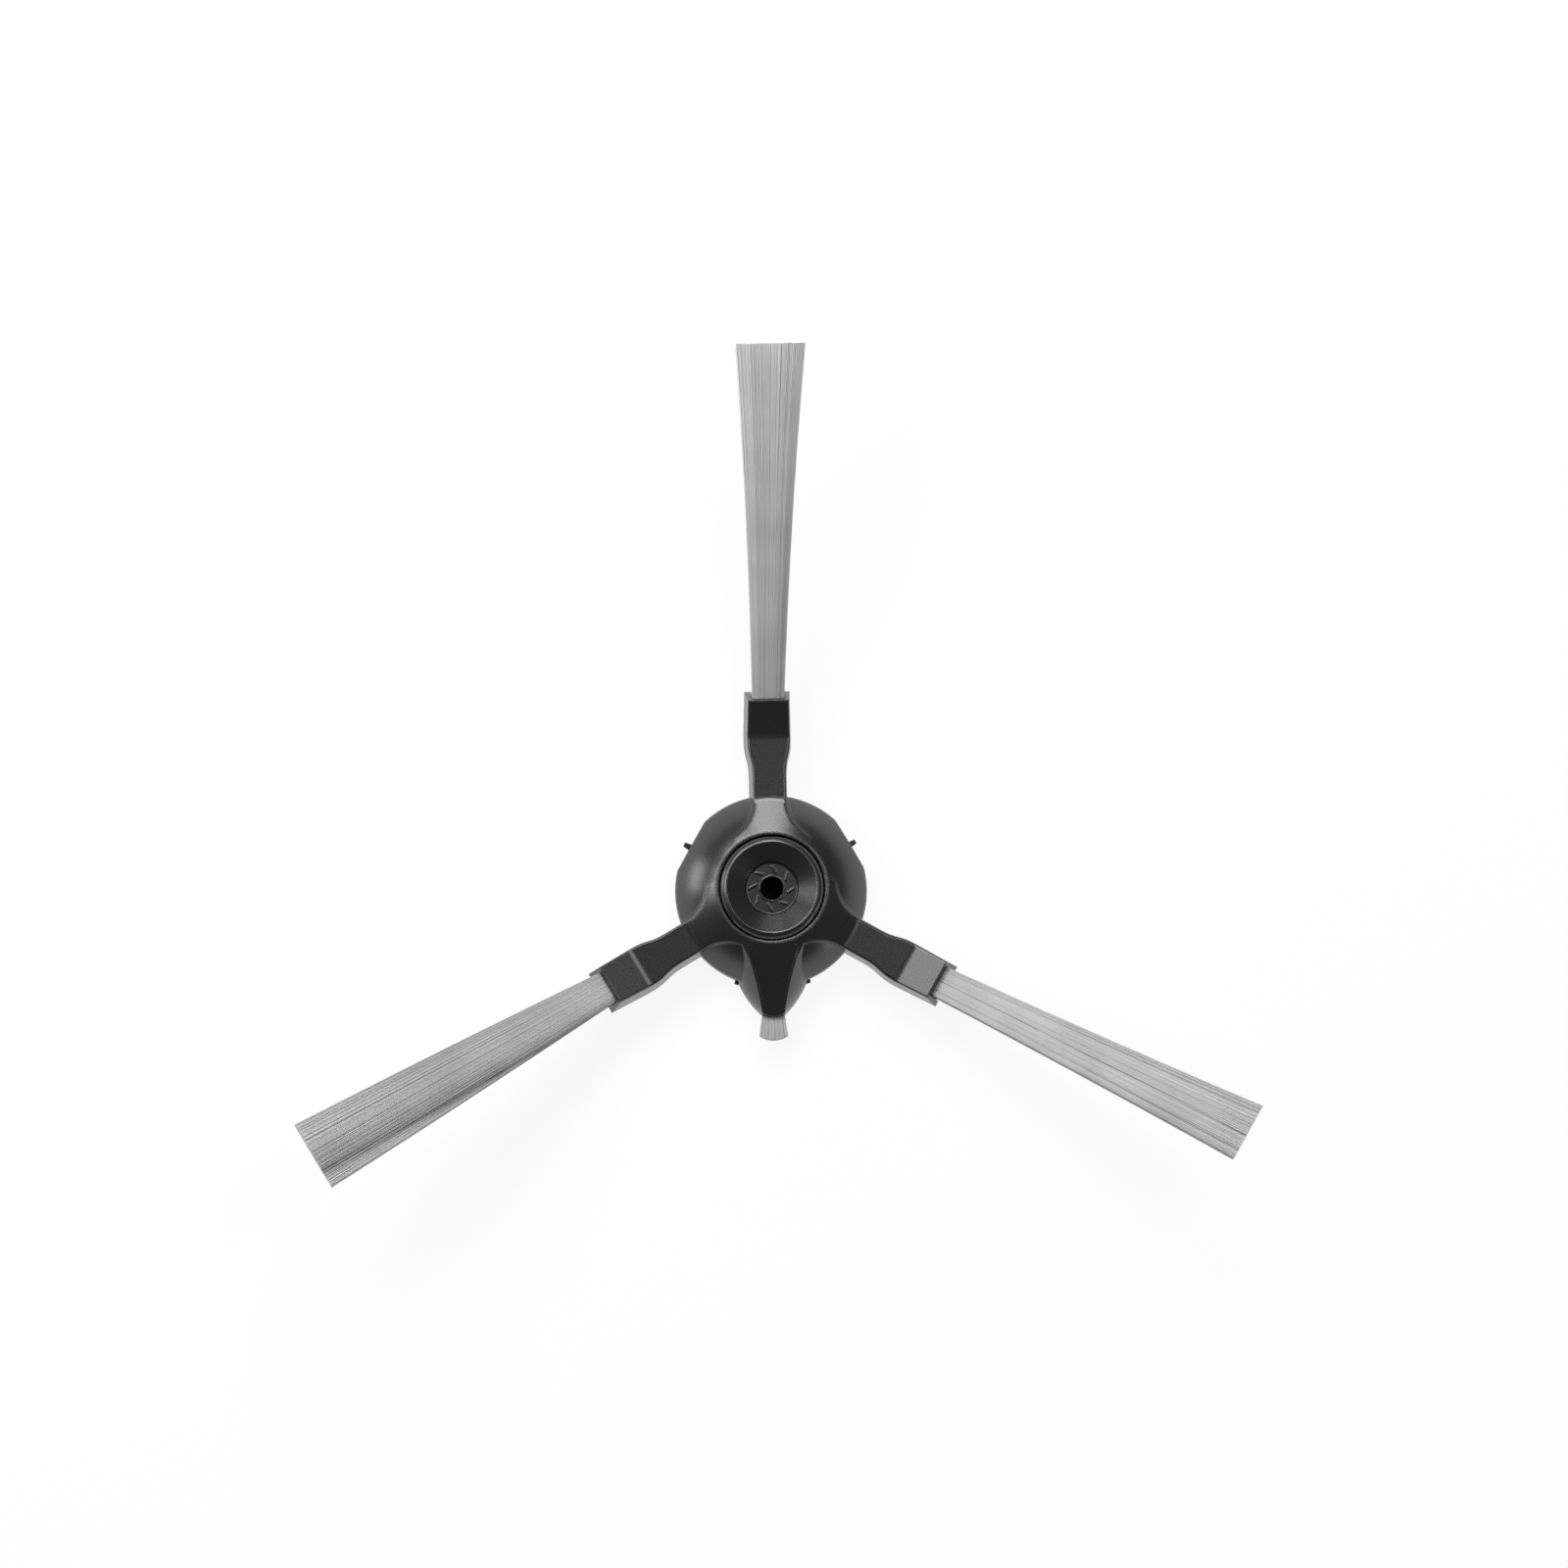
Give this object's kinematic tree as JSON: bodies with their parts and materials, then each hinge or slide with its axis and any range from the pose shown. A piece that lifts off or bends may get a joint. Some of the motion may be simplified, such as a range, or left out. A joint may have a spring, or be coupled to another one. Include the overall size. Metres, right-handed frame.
{
  "type": "robot vacuum side brush",
  "caption": "Robot vacuum side brush: domed hub with a screw seat and a drive socket, channel arms, a pointed tail and splayed bristle tufts that sweep dust inward.",
  "frame": {"origin": "on the hub's axis, at the mouth of the drive socket, level with the back cover's flat face", "axes": "+Z along the hub's axis, towards the floor side of the brush; +Y along the first arm; the tail points along -Y"},
  "size_m": [0.1545, 0.1339, 0.029],
  "materials": {
    "shell_plastic": "satin, fine moulded grain",
    "insert_plastic": "satin, turned sheen",
    "cover_plastic": "satin",
    "bristle_nylon": "soft, streaked along the filaments"
  },
  "bodies": {
    "root": {"hub_shell": "shell_plastic", "drive_hub": "insert_plastic", "back_cover": "cover_plastic", "bristle_tuft_1": "bristle_nylon", "bristle_tuft_2": "bristle_nylon", "bristle_tuft_3": "bristle_nylon", "short_tuft": "bristle_nylon"}
  },
  "joints": []
}
